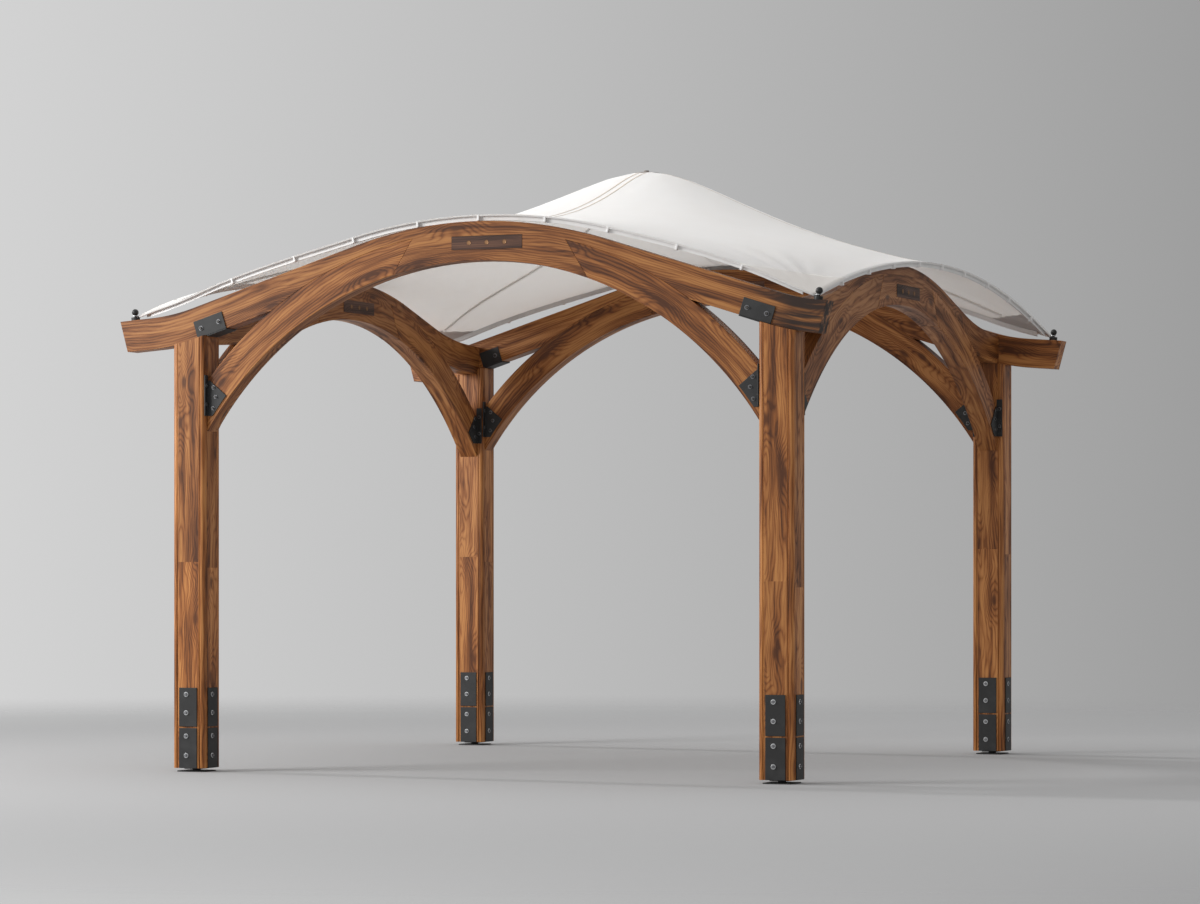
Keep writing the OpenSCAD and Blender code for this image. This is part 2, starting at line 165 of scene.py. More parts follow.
# %% Knots
KNOTS_ALONG, KNOTS_OVER = 2.0, 5.2
over = maths(group, "MULTIPLY", maths(group, "ADD", depth, across), KNOTS_OVER)
on_face = vector(group, maths(group, "MULTIPLY", shifted, KNOTS_ALONG), over, 0.0)
cells = add(group, "TexVoronoi", {"Vector": on_face, "Scale": 1.0}, voronoi_dimensions="2D").outputs[0]


def near_knot(reach, core):
    """One at the heart of a knot, and nothing beyond its reach or on a plain strip."""
    near = add(group, "MapRange", {0: cells, 1: reach, 2: core, 3: 0.0, 4: 1.0},
               interpolation_type="SMOOTHSTEP").outputs[0]
    return maths(group, "MULTIPLY", near, start["Lively"])


knot = near_knot(0.42, 0.0)
heart = near_knot(0.10, 0.03)
print("knots", 1 / KNOTS_ALONG, "m apart along a board, on average")

# %% [markdown]
# Growth rings are tubes round a pith, and their spacing is measured from a line that lies
# off the board. The flames bend them, and near a knot they swell. Each ring is pale for
# most of its width and dark in its late wood, which a zigzag raised to a power gives.

# %% Growth rings
PITH_DEPTH, PITH_ACROSS = 0.05, 0.085
pith = vector(group, 0.0, maths(group, "ADD", depth, PITH_DEPTH),
              maths(group, "ADD", across, PITH_ACROSS))
radius = add(group, "VectorMath", {0: pith}, operation="LENGTH").outputs["Value"]
rings = maths(group, "DIVIDE", radius, start["Ring Gap"])
figure = maths(group, "MULTIPLY", start["Figure"], start["Lively"])


def added(total, amount, share, middle=0.0):
    """The total, with a share of how far the amount lies from its middle."""
    swing = maths(group, "SUBTRACT", amount, middle)
    return maths(group, "ADD", total, maths(group, "MULTIPLY", swing, share))


bent = added(added(rings, flame, figure), knot, 4.2)
late = maths(group, "PINGPONG", bent, 0.5)
late = maths(group, "POWER", maths(group, "MULTIPLY", late, 2.0), 2.0)
print("pith", round(math.hypot(PITH_DEPTH, PITH_ACROSS), 3), "m off the board's own line")

# %% [markdown]
# Rings, streaks, fibres and knots add up to one tone, which picks the colour from three:
# light, middle and dark. The stain goes on last, over all of them, because weather darkens
# the face of a board and not the wood inside.

# %% Timber colour
WEATHERED = (0.026, 0.012, 0.007, 1)
tone = maths(group, "MULTIPLY", late, 0.42)
tone = added(added(tone, streak, 2.5, 0.45), fibre, 0.7, 0.5)
tone = added(tone, knot, 0.22)
tone = maths(group, "ADD", tone, 0.16, clamp=True)
early = maths(group, "MULTIPLY", tone, 2.0, clamp=True)
pale = blend_colour(group, early, start["Light"], start["Middle"])
deep = maths(group, "MULTIPLY", maths(group, "SUBTRACT", tone, 0.45), 1.9, clamp=True)
wood = blend_colour(group, deep, pale, start["Dark"])
wood = blend_colour(group, maths(group, "MULTIPLY", heart, 0.85), wood, start["Dark"])
own = add(group, "TexWhiteNoise", {"W": start["Board"]}, noise_dimensions="1D").outputs[0]
shade = maths(group, "ADD", maths(group, "MULTIPLY", own, 0.26), 0.87)
wood = blend_colour(group, 1.0, wood, vector(group, shade, shade, shade), "MULTIPLY")
patchy = add(group, "MapRange", {0: streak, 1: 0.37, 2: 0.54, 3: 0.0, 4: 1.0}).outputs[0]
stained = maths(group, "MULTIPLY", patchy, start["Stain"])
wood = blend_colour(group, stained, wood, WEATHERED)
group.links.new(wood, end["Color"])
group.links.new(maths(group, "ADD", maths(group, "MULTIPLY", tone, 0.16), 0.4), end["Roughness"])
relief = added(maths(group, "MULTIPLY", fibre, 0.5), late, -0.35)
group.links.new(relief, end["Height"])
TIMBER = group
print("timber group:", len(group.nodes), "nodes")

# %% [markdown]
# Every material starts from Blender's Principled shader, with plain values set on its own
# sockets. Relief too fine to model is a Bump node on its normal.

# %% Material helpers


def new_material(name, colour, roughness, metallic=0.0):
    material = bpy.data.materials.new(name)
    material.use_nodes = True
    net = material.node_tree
    shader = net.nodes["Principled BSDF"]
    shader.inputs["Base Color"].default_value = (*colour, 1)
    shader.inputs["Roughness"].default_value = roughness
    shader.inputs["Metallic"].default_value = metallic
    return material, net, shader


def bump(net, shader, height, distance, strength=0.5):
    node = add(net, "Bump", {"Height": height, "Distance": distance, "Strength": strength})
    net.links.new(node.outputs[0], shader.inputs["Normal"])


# %% [markdown]
# The same group makes the posts, the beams and the dark inlay. Only the colours, the gap
# between rings and the strength of the figure differ. The beams are a shade darker.

# %% Timber materials


def timber_material(name, light, middle, dark, ring_gap, figure):
    material, net, shader = new_material(name, middle, 0.5)
    shader.inputs["Specular IOR Level"].default_value = 0.3
    wood = add(net, "Group", node_tree=TIMBER)
    grain = add(net, "Attribute", attribute_name="grain").outputs["Vector"]
    net.links.new(grain, wood.inputs["Grain"])
    for label in ("Board", "Lively", "Stain"):
        number = add(net, "Attribute", attribute_name=label.lower()).outputs["Fac"]
        net.links.new(number, wood.inputs[label])
    for key, value in (("Light", light), ("Middle", middle), ("Dark", dark)):
        wood.inputs[key].default_value = (*value, 1)
    wood.inputs["Ring Gap"].default_value = ring_gap
    wood.inputs["Figure"].default_value = figure
    net.links.new(wood.outputs["Color"], shader.inputs["Base Color"])
    net.links.new(wood.outputs["Roughness"], shader.inputs["Roughness"])
    bump(net, shader, wood.outputs["Height"], 0.0007)
    return material


HONEY, AMBER, UMBER = (0.53, 0.228, 0.070), (0.30, 0.102, 0.025), (0.090, 0.027, 0.007)
TOASTED = [[0.86 * channel for channel in colour] for colour in (HONEY, AMBER, UMBER)]
post_timber = timber_material("post timber", HONEY, AMBER, UMBER, 0.015, 12.0)
beam_timber = timber_material("beam timber", *TOASTED, 0.015, 8.0)
inlay = timber_material("dark inlay", (0.13, 0.06, 0.035), (0.07, 0.03, 0.018),
                        (0.025, 0.012, 0.008), 0.012, 3.0)

print("timbers:", post_timber.name, beam_timber.name, inlay.name)

# %% [markdown]
# Each timber is copied from its solid, so that its edges can be eased and its grain can
# follow it. A map drawn by hand would tear at every joint. Instead, three numbers kept at
# each point say how far along, how deep and how far across the board it lies, and they
# bend the grain round an arch. Three single numbers go with them: the board's own number,
# how lively its figure is, and how far it is stained.

# %% Bent timber helpers
EASED_EDGE = 0.003
STATION_GAP = 0.06
BEAM_DEPTH = 0.165
FRONT_DROP = 0.037
SIDE_DROP = 0.05
SHARP_TURN = math.radians(30)
FLAT_TURN = math.radians(0.4)
SAME_PLACE = 1e-5


def merged(node):
    """The node's solid as one closed bmesh of triangles."""
    bm = bmesh.new()
    bm.from_mesh(NODES[node].data)
    bmesh.ops.remove_doubles(bm, verts=bm.verts, dist=SAME_PLACE)
    return bm


def copied(node):
    """The node's solid with its flat faces whole."""
    bm = merged(node)
    bmesh.ops.dissolve_limit(bm, angle_limit=FLAT_TURN, verts=bm.verts, edges=bm.edges)
    return bm


def ease(bm, offset, segments=2):
    edges = [e for e in bm.edges if len(e.link_faces) == 2 and e.calc_face_angle() > SHARP_TURN]
    bmesh.ops.bevel(bm, geom=edges, offset=offset, segments=segments, profile=0.5,
                    affect="EDGES", clamp_overlap=True, material=-1)


def cut_at(bm, axis, places):
    """Cuts the mesh into lengths, so that there are points to hold the grain."""
    normal = Vector([1.0 if i == axis else 0.0 for i in range(3)])
    for place in places:
        geometry = bm.verts[:] + bm.edges[:] + bm.faces[:]
        bmesh.ops.bisect_plane(bm, geom=geometry, plane_co=normal * place, plane_no=normal)


# %% [markdown]
# A finished piece is an object at the origin, with its place in its mesh. It rides on the
# one body, because nothing on a pergola moves. A timber's numbers are written to the mesh
# as attributes, and it takes the place of the solid that it was copied from.

# %% Finished pieces


def finish(name, bm, material, smooth=True):
    """Makes the piece's object, at the origin, riding on the one body."""
    mesh = bpy.data.meshes.new(name)
    if smooth:
        for face in bm.faces:
            face.smooth = True
    bm.to_mesh(mesh)
    bm.free()
    mesh.materials.append(material)
    piece = bpy.data.objects.new(name, mesh)
    scene.collection.objects.link(piece)
    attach(piece, "root")
    return piece


def timber_piece(node, bm, material, grain_of, board_of,
                 lively_of=lambda co: 1.0, stain_of=lambda co: 0.0):
    piece = finish(node + "_timber", bm, material)
    mesh = piece.data
    grain = mesh.attributes.new("grain", "FLOAT_VECTOR", "POINT")
    for vertex in mesh.vertices:
        grain.data[vertex.index].vector = grain_of(vertex.co)
    stain = mesh.attributes.new("stain", "FLOAT", "POINT")
    for vertex in mesh.vertices:
        stain.data[vertex.index].value = stain_of(vertex.co)
    for label, value_of in (("board", board_of), ("lively", lively_of)):
        number = mesh.attributes.new(label, "FLOAT", "FACE")
        for face in mesh.polygons:
            number.data[face.index].value = value_of(face.center)
    weights = piece.modifiers.new("even shading", "WEIGHTED_NORMAL")
    weights.keep_sharp = True
    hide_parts(node)
    return piece


# %% [markdown]
# A post is glued up: a broad figured board in the middle of each face and plain strips at
# the four corners. Separate boards would leave gaps between them, so the strips and the
# butt joints are cut into the copy, and every board gets a number of its own.

# %% Posts
STRIP_LINE = 0.06
PLAIN_STRIP = 0.2
JOINT_HEIGHTS = (1.08, 1.12, 0.98, 1.16)
JOINT_STEP = 0.03
UPPER_CUT = 2.3

for index, (_, x_name) in enumerate(SIDES):
    for row, (_, y_name) in enumerate(ENDS):
        node = f"post_{y_name}_{x_name}"
        low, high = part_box(node)
        centre = Vector(((low[0] + high[0]) / 2, (low[1] + high[1]) / 2, 0))
        number = 1 + 2 * index + row
        joint = JOINT_HEIGHTS[number - 1]
        bm = copied(node)
        for axis in (0, 1):
            cut_at(bm, axis, [centre[axis] - STRIP_LINE, centre[axis] + STRIP_LINE])
        cut_at(bm, 2, [joint, joint + JOINT_STEP, UPPER_CUT])

        def post_grain(co, centre=centre):
            return (co.z, co.x - centre.x, co.y - centre.y)

        def post_board(co, centre=centre, number=number, joint=joint):
            x, y = co.x - centre.x, co.y - centre.y
            if abs(x) > STRIP_LINE and abs(y) > STRIP_LINE:
                return number + 0.1 * (1 + (x > 0) + 2 * (y > 0))
            face = 5 + (abs(x) > abs(y)) + 2 * (x + y > 0)
            upper = co.z > joint + (JOINT_STEP if face % 2 else 0.0)
            return number + 0.1 * face + (0.53 if upper else 0.0)

        def post_lively(co, centre=centre):
            inside = min(abs(co.x - centre.x), abs(co.y - centre.y)) < STRIP_LINE
            return 1.0 if inside else PLAIN_STRIP

        timber_piece(node, bm, post_timber, post_grain, post_board, post_lively)
print("posts made")

# %% [markdown]
# Beams and braces lie in four upright frames, two along X and two along Y. A frame has its
# own three directions: along it, out of it and up. A finished piece is never turned, so
# each point is worked out in its frame and given as X, Y and Z.

# %% Frames


def framed(axis, along_frame, out, z):
    """A point given in the plane of a frame, as X, Y and Z."""
    return Vector((along_frame, out, z)) if axis == 0 else Vector((out, along_frame, z))


def top_finder(bm, axis, middle, low, high):
    """A function that gives the beam's top at a place along it, by a ray from above."""
    tree = BVHTree.FromBMesh(bm)
    known = {}

    def top_at(place):
        key = round(min(max(place, low + 0.002), high - 0.002), 3)
        if key not in known:
            above = framed(axis, key, middle, 9.0)
            known[key] = tree.ray_cast(above, Vector((0, 0, -1)))[0].z
        return known[key]

    return top_at


def stations(low, high):
    count = max(int((high - low) / STATION_GAP), 2)
    return [low + (high - low) * i / count for i in range(1, count)]


# %% [markdown]
# A beam is bent, and its grain follows the bend. A straight grain would run out of the
# curve, so depth is measured down from the beam's own top line, which is read from the
# copy. The right end of the front beam is weathered nearly black, in streaks.

# %% Beams
STAINED_END = 0.45
STAIN_RISE = 1.7


def beam_piece(node, axis, number):
    low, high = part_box(node)
    middle = (low[1 - axis] + high[1 - axis]) / 2
    bm = copied(node)
    top_at = top_finder(bm, axis, middle, low[axis], high[axis])
    ease(bm, EASED_EDGE)
    cut_at(bm, axis, stations(low[axis], high[axis]))

    def beam_grain(co):
        return (co[axis], top_at(co[axis]) - co.z, co[1 - axis] - middle)

    def beam_stain(co):
        from_end = (high[0] - co.x) / STAINED_END
        return min(1.0, max(0.0, STAIN_RISE * (1.0 - from_end))) if node == "beam_front" else 0.0

    timber_piece(node, bm, beam_timber, beam_grain, lambda co: number,
                 stain_of=beam_stain)


# %% [markdown]
# A brace is part of a circle, so its length is an arc and its depth a radius. The circle
# passes through the crown's underside and the brace's foot.

# %% Braces


def brace_piece(node, axis, number, soffit):
    low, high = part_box(node)
    middle = (low[1 - axis] + high[1 - axis]) / 2
    foot = max(abs(low[axis]), abs(high[axis]))
    rise = soffit - low[2]
    radius = (foot * foot + rise * rise) / (2 * rise)
    centre_z = soffit - radius
    bm = copied(node)
    ease(bm, EASED_EDGE)
    cut_at(bm, axis, stations(low[axis], high[axis]))

    def brace_grain(co):
        out = math.hypot(co[axis], co.z - centre_z)
        return (radius * math.atan2(co[axis], co.z - centre_z), radius + 0.15 - out,
                co[1 - axis] - middle)

    timber_piece(node, bm, beam_timber, brace_grain, lambda co: number)


# %% [markdown]
# Each beam and brace takes the next number, so that no two have the same figure.

# %% Place beams and braces
BOARD_STEP = 1.37
number = 10.0
for _, y_name in ENDS:
    number += BOARD_STEP
    beam_piece("beam_" + y_name, 0, number)
    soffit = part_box("beam_" + y_name)[1][2] - BEAM_DEPTH - FRONT_DROP
    for _, x_name in SIDES:
        number += BOARD_STEP
        brace_piece(f"brace_{y_name}_{x_name}", 0, number, soffit)
for _, x_name in SIDES:
    number += BOARD_STEP
    beam_piece("beam_" + x_name, 1, number)
    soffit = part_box("beam_" + x_name)[1][2] - BEAM_DEPTH - SIDE_DROP
    for _, y_name in ENDS:
        number += BOARD_STEP
        brace_piece(f"brace_{x_name}_{y_name}", 1, number, soffit)
print("beams and braces made")

# %% [markdown]
# The steel is powder coated: nearly black, matte, with a fine orange-peel skin. A group
# makes that skin, and the zinc bolts and the alloy rails use it too with other values.

# %% Metal group
group, start, end = new_group(
    "coated skin",
    (("Place", "Vector"), ("Base", "Color"), ("Worn", "Color"), ("Grain", "Float")),
    (("Color", "Color"), ("Roughness", "Float"), ("Height", "Float")),
)
peel = noise(group, start["Place"], 420.0, 2.0)
patch = noise(group, start["Place"], 9.0, 4.0)
worn = add(group, "MapRange", {0: patch, 1: 0.52, 2: 0.72, 3: 0.0, 4: 0.6}).outputs[0]
group.links.new(blend_colour(group, worn, start["Base"], start["Worn"]), end["Color"])
dull = maths(group, "MULTIPLY", patch, 0.25)
group.links.new(maths(group, "ADD", dull, start["Grain"]), end["Roughness"])
group.links.new(peel, end["Height"])
COATING = group
print("coated skin group:", len(group.nodes), "nodes")

# %% [markdown]
# Each metal is that group with its own base colour, its worn colour and its dullness. The
# bolts are bare or blackened metal, and the rest is mostly paint.

# %% Metals


def metal(name, base, worn_colour, grain, metallic, relief=0.0002):
    material, net, shader = new_material(name, base, 0.4, metallic)
    place = add(net, "TexCoord").outputs["Object"]
    skin = add(net, "Group", node_tree=COATING)
    net.links.new(place, skin.inputs["Place"])
    skin.inputs["Base"].default_value = (*base, 1)
    skin.inputs["Worn"].default_value = (*worn_colour, 1)
    skin.inputs["Grain"].default_value = grain
    net.links.new(skin.outputs["Color"], shader.inputs["Base Color"])
    net.links.new(skin.outputs["Roughness"], shader.inputs["Roughness"])
    bump(net, shader, skin.outputs["Height"], relief)
    return material


black_steel = metal("black steel", (0.018, 0.018, 0.018), (0.042, 0.042, 0.042), 0.40, 0.2)
zinc = metal("zinc", (0.62, 0.63, 0.64), (0.42, 0.42, 0.42), 0.16, 1.0, 0.0001)
head_steel = metal("head steel", (0.20, 0.20, 0.21), (0.12, 0.12, 0.12), 0.3, 1.0, 0.0001)
black_bolt = metal("black bolt", (0.06, 0.058, 0.055), (0.12, 0.11, 0.10), 0.3, 0.8, 0.0001)
alloy = metal("alloy", (0.80, 0.79, 0.78), (0.68, 0.67, 0.66), 0.32, 0.15, 0.0001)
cap_coat = metal("cap coat", (0.22, 0.19, 0.17), (0.28, 0.25, 0.22), 0.35, 0.2)
print("metals:", black_steel.name, zinc.name, head_steel.name, black_bolt.name, alloy.name)

# %% [markdown]
# Real plate never has a knife edge, and an edge that is eased catches the light. So the
# plates are copied and eased. The other metal solids keep their shape and only get their
# finish.

# %% Plates and coats


def eased_steel(node, material, offset=0.0012):
    bm = copied(node)
    ease(bm, offset)
    piece = finish(node + "_plate", bm, material, smooth=False)
    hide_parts(node)
    return piece


for name in sorted(NODES):
    if name.split("_")[0] in ("straps", "brackets", "saddle"):
        eased_steel(name, black_steel)


def coat(prefix, material):
    for node_name, piece in NODES.items():
        if node_name.startswith(prefix):
            piece.data.materials.clear()
            piece.data.materials.append(material)


coat("foot", black_steel)
coat("anchor", black_steel)
coat("rail", alloy)
coat("peak_cap", cap_coat)

# %% [markdown]
# A bolt is a washer and a hex head, turned to face out of the plate. Both are short cones
# that narrow a little, as forged heads do. Those at the feet are bright, and those above
# are blackened.

# %% Bolt
WASHER_R, WASHER_T = 0.0138, 0.0025
HEAD_R, HEAD_T = 0.0088, 0.0075


def bolt(bm, place, normal, size=1.0, dark=True):
    """A washer and a hex head on a place, facing along the normal."""
    turn = Vector(normal).to_track_quat("Z", "Y").to_matrix().to_4x4()
    for index, (radius, thick, start_at, sides) in enumerate((
            (WASHER_R, WASHER_T, 0.0, 20), (HEAD_R, HEAD_T, WASHER_T, 6))):
        middle = Matrix.Translation((0, 0, (start_at + thick / 2) * size))
        made = bmesh.ops.create_cone(bm, cap_ends=True, segments=sides, radius1=radius * size,
                                     radius2=radius * size * 0.93, depth=thick * size,
                                     matrix=Matrix.Translation(place) @ turn @ middle)
        for face in {f for v in made["verts"] for f in v.link_faces}:
            face.material_index = index + (1 if dark else 0)
        rims = [e for e in {e for v in made["verts"] for e in v.link_edges}
                if e.calc_face_angle(0) > SHARP_TURN]
        bmesh.ops.bevel(bm, geom=rims, offset=0.0006 * size, segments=1, profile=0.5,
                        affect="EDGES", clamp_overlap=True, material=-1)


# %% [markdown]
# Three kinds of plate are bolted: the straps at a post's foot, the brackets at the foot of
# each brace, and the saddles under the front and back beams. Each kind has its own pattern,
# measured from the timber or the plate that it sits on.

# %% Bolt patterns
BOLT_HEIGHTS = (0.067, 0.170, 0.293, 0.390)
BOLT_SHIFT = -0.010
PLATE_T = 0.006
BEAM_HALF = 0.055
BRACKET_BOLTS = ((0.040, 0.150), (0.054, 0.100), (0.0375, 0.040))
BRACKET_UP = 0.082
FLANGE_BOLTS = (0.06, 0.16)
FLANGE_OUT = 0.018
SADDLE_STEP = 0.052
SADDLE_SLOPE = 0.315


def strap_bolts(bm, centre, half):
    """Four bolts on each face of a post's foot."""
    for quarter in range(4):
        turn = Matrix.Rotation(quarter * math.pi / 2, 3, "Z")
        for height in BOLT_HEIGHTS:
            place = turn @ Vector((BOLT_SHIFT, -half - PLATE_T, 0)) + centre
            place.z = centre.z + height
            bolt(bm, place, turn @ Vector((0, -1, 0)), dark=False)


def bracket_bolts(bm, axis, along_sign, face, middle, low_z):
    """Three bolts through each gusset plate, and two in each flange on the post."""
    for out_sign in (-1, 1):
        out = middle + out_sign * (BEAM_HALF + PLATE_T)
        for inset, up in BRACKET_BOLTS:
            place = framed(axis, along_sign * (face - inset), out, low_z + up)
            bolt(bm, place, framed(axis, 0, out_sign, 0), 0.85)
        for up in FLANGE_BOLTS:
            leg = middle + out_sign * (BEAM_HALF + FLANGE_OUT)
            place = framed(axis, along_sign * (face - PLATE_T), leg, low_z + up)
            bolt(bm, place, framed(axis, -along_sign, 0, 0), 0.8)


def saddle_bolts(bm, node, sx, sy, middle):
    """Two bolts on a saddle's outer plate and one on its shorter inner plate."""
    low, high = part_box(node)
    x, z = (low[0] + high[0]) / 2, (low[2] + high[2]) / 2
    for out_sign in (-1, 1):
        for step in ((-SADDLE_STEP, SADDLE_STEP) if out_sign == sy else (-SADDLE_STEP,)):
            out = middle + out_sign * (BEAM_HALF + PLATE_T)
            place = (x + sx * step, out, z - step * SADDLE_SLOPE)
            bolt(bm, place, (0, out_sign, 0))


# %% [markdown]
# All the bolts of a corner are one piece with three metals. A piece for each bolt would
# make more than a hundred pieces that never part.

# %% Place the bolts
for sx, x_name in SIDES:
    for sy, y_name in ENDS:
        corner = f"{y_name}_{x_name}"
        low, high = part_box("post_" + corner)
        half = (high[0] - low[0]) / 2
        centre = Vector(((low[0] + high[0]) / 2, (low[1] + high[1]) / 2, low[2]))
        bm = bmesh.new()
        strap_bolts(bm, centre, half)
        front_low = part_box(f"brace_{y_name}_{x_name}")[0][2] + BRACKET_UP
        side_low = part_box(f"brace_{x_name}_{y_name}")[0][2] + BRACKET_UP
        bracket_bolts(bm, 0, sx, abs(centre.x) - half, centre.y, front_low)
        bracket_bolts(bm, 1, sy, abs(centre.y) - half, centre.x, side_low)
        saddle_bolts(bm, "saddle_" + corner, sx, sy, centre.y)
        bolts = finish("bolts_" + corner, bm, zinc, smooth=False)
        bolts.data.materials.append(head_steel)
        bolts.data.materials.append(black_bolt)
print("bolts made")

# %% [markdown]
# The inlays are dark boards let into both faces of each crown. Each carries three plain
# round studs. A stud is a short cone whose top is inset and pushed in, which leaves a rim.

# %% Crown inlays
bm = copied("crown_panels")
ease(bm, 0.001, 1)
timber_piece("crown_panels", bm, inlay,
             lambda co: (co.x + co.y, co.z, 0.0), lambda co: 2.0)
STUD_GAP = 0.1
CROWN_SHIFT = 0.06
STUD_OUT = 0.0575
FRONT_PANEL_UP, SIDE_PANEL_UP = 0.091, 0.075
bm = bmesh.new()
for axis in (0, 1):
    for side in (-1, 1):
        node = ("beam_" + ("front" if side < 0 else "back")) if axis == 0 else (
            "beam_" + ("left" if side < 0 else "right"))
        low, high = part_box(node)
        middle = (low[1 - axis] + high[1 - axis]) / 2
        drop = FRONT_DROP - FRONT_PANEL_UP if axis == 0 else SIDE_DROP - SIDE_PANEL_UP
        height = high[2] - BEAM_DEPTH - drop
        for out_sign in (-1, 1):
            for step in (-1, 0, 1):
                facing = framed(axis, 0, out_sign, 0)
                place = framed(axis, CROWN_SHIFT + step * STUD_GAP, middle + out_sign * STUD_OUT,
                               height)
                turn = facing.to_track_quat("Z", "Y").to_matrix().to_4x4()
                made = bmesh.ops.create_cone(bm, cap_ends=True, segments=24, radius1=0.013,
                                             radius2=0.011, depth=0.003,
                                             matrix=Matrix.Translation(place) @ turn)
                faces = {f for v in made["verts"] for f in v.link_faces}
                face = max(faces, key=lambda f: f.normal.dot(facing) * 9 + f.calc_area())
                bmesh.ops.inset_region(bm, faces=[face], thickness=0.003, depth=-0.001)
aged_brass = metal("aged brass", (0.25, 0.13, 0.06), (0.14, 0.08, 0.04), 0.4, 0.6)
finish("inlay_studs", bm, aged_brass, smooth=False)
print("crown inlays made")

# %% [markdown]
# The cloth is a coated shade fabric. Its weave follows the sheet in plan, so a grid of
# fine threads on the object's own X and Y is true to it. A slow cloud of a second colour
# keeps so large a sheet from looking like paper.

# %% Cloth group
group, start, end = new_group(
    "weave",
    (("Place", "Vector"), ("Base", "Color"), ("Shade", "Color"), ("Threads", "Float")),
    (("Color", "Color"), ("Roughness", "Float"), ("Height", "Float")),
)
parts = add(group, "SeparateXYZ", {0: start["Place"]}).outputs
warp = maths(group, "SINE", maths(group, "MULTIPLY", parts[0], start["Threads"]))
weft = maths(group, "SINE", maths(group, "MULTIPLY", parts[1], start["Threads"]))
threads = maths(group, "MULTIPLY", warp, weft)
cloud = noise(group, start["Place"], 2.2, 5.0)
soil = add(group, "MapRange", {0: cloud, 1: 0.42, 2: 0.75, 3: 0.0, 4: 0.55}).outputs[0]
group.links.new(blend_colour(group, soil, start["Base"], start["Shade"]), end["Color"])
group.links.new(maths(group, "ADD", maths(group, "MULTIPLY", cloud, 0.15), 0.6), end["Roughness"])
group.links.new(threads, end["Height"])
WEAVE = group
print("weave group:", len(group.nodes), "nodes")

# %% [markdown]
# Light passes a little way into the cloth, which keeps its underside bright. It passes less
# far where tapes and patches double it, so those have less of that glow and show darker.

# %% Cloths


def cloth(name, base, shade_colour, threads_per_metre=900.0, glow=0.7):
    material, net, shader = new_material(name, base, 0.7)
    skin = add(net, "Group", node_tree=WEAVE)
    net.links.new(add(net, "TexCoord").outputs["Object"], skin.inputs["Place"])
    skin.inputs["Base"].default_value = (*base, 1)
    skin.inputs["Shade"].default_value = (*shade_colour, 1)
    skin.inputs["Threads"].default_value = threads_per_metre
    net.links.new(skin.outputs["Color"], shader.inputs["Base Color"])
    net.links.new(skin.outputs["Roughness"], shader.inputs["Roughness"])
    bump(net, shader, skin.outputs["Height"], 0.0002, 0.3)
    shader.inputs["Sheen Weight"].default_value = 0.08
    shader.inputs["Subsurface Weight"].default_value = glow
    shader.inputs["Subsurface Radius"].default_value = (1.0, 0.92, 0.85)
    shader.inputs["Subsurface Scale"].default_value = 0.02
    return material


shade_cloth = cloth("shade cloth", (0.93, 0.875, 0.82), (0.88, 0.82, 0.76))
patch_cloth = cloth("patch cloth", (0.86, 0.81, 0.76), (0.81, 0.755, 0.70), glow=0.2)
seam_tape = cloth("seam tape", (0.70, 0.60, 0.50), (0.64, 0.55, 0.46), 2400.0, glow=0.2)
hem_tape = cloth("hem tape", (0.80, 0.78, 0.76), (0.72, 0.70, 0.68), 1500.0, glow=0.2)
coat("battens", shade_cloth)
print("cloths:", shade_cloth.name, patch_cloth.name, seam_tape.name, hem_tape.name)

# %% [markdown]
# The canopy is one stretched sheet. It could be draped by a cloth simulation, but a sheet
# this taut hardly sags, so its upper side is taken from the solid and cut finer.

# %% Upper side of the canopy
UNDERSIDE = 0.15


def upper_sheet():
    bm = merged("canopy")
    bm.normal_update()
    spare = [f for f in bm.faces if f.normal.z < UNDERSIDE]
    bmesh.ops.delete(bm, geom=spare, context="FACES")
    limit = math.radians(60)
    bmesh.ops.join_triangles(bm, faces=bm.faces, cmp_seam=False, cmp_sharp=False, cmp_uvs=False,
                             cmp_vcols=False, cmp_materials=False, angle_face_threshold=limit,
                             angle_shape_threshold=limit)
    return bm


def outer_corners(bm):
    """The sheet's four corner points: those furthest out on each diagonal."""
    return [max(bm.verts, key=lambda v: sx * v.co.x + sy * v.co.y).co.copy()
            for sx in (-1, 1) for sy in (-1, 1)]


bm = upper_sheet()
bmesh.ops.subdivide_edges(bm, edges=bm.edges, cuts=3, use_grid_fill=True, smooth=1.0)
corners = outer_corners(bm)
peak = max(bm.verts, key=lambda v: v.co.z).co.copy()
print("upper side:", len(bm.faces), "faces, peak at", round(peak.z, 3))

# %% [markdown]
# Where a corner is pulled, the cloth gathers in soft folds that fan out from it. They are a
# wave on the angle round the corner, which fades with distance and toward both edges.

# %% Corner folds
FOLD_REACH = 0.95
FOLD_START = 0.05
FOLD_HEIGHT = 0.008
FOLD_WAVES = 22
for vertex in bm.verts:
    if vertex.is_boundary:
        continue
    for corner in corners:
        offset = vertex.co - corner
        distance = math.hypot(offset.x, offset.y)
        if FOLD_START < distance < FOLD_REACH:
            inward = math.atan2(abs(offset.y), abs(offset.x))
            fade = math.sin(math.pi * distance / FOLD_REACH) * (1 - distance / FOLD_REACH)
            edge_fade = math.sin(2 * inward) ** 2
            wave = 1 + math.sin(inward * FOLD_WAVES)
            vertex.co.z += FOLD_HEIGHT * fade * edge_fade * wave
bm.normal_update()
print("folds reach", FOLD_REACH, "m in from each corner")

# %% [markdown]
# Before the sheet gets its thickness, its surface is kept in three forms: a tree to drop
# tapes on, the edges of its rim, and a whole copy for the patches. Its own thickness is less
# than that of the solid that stands for it.

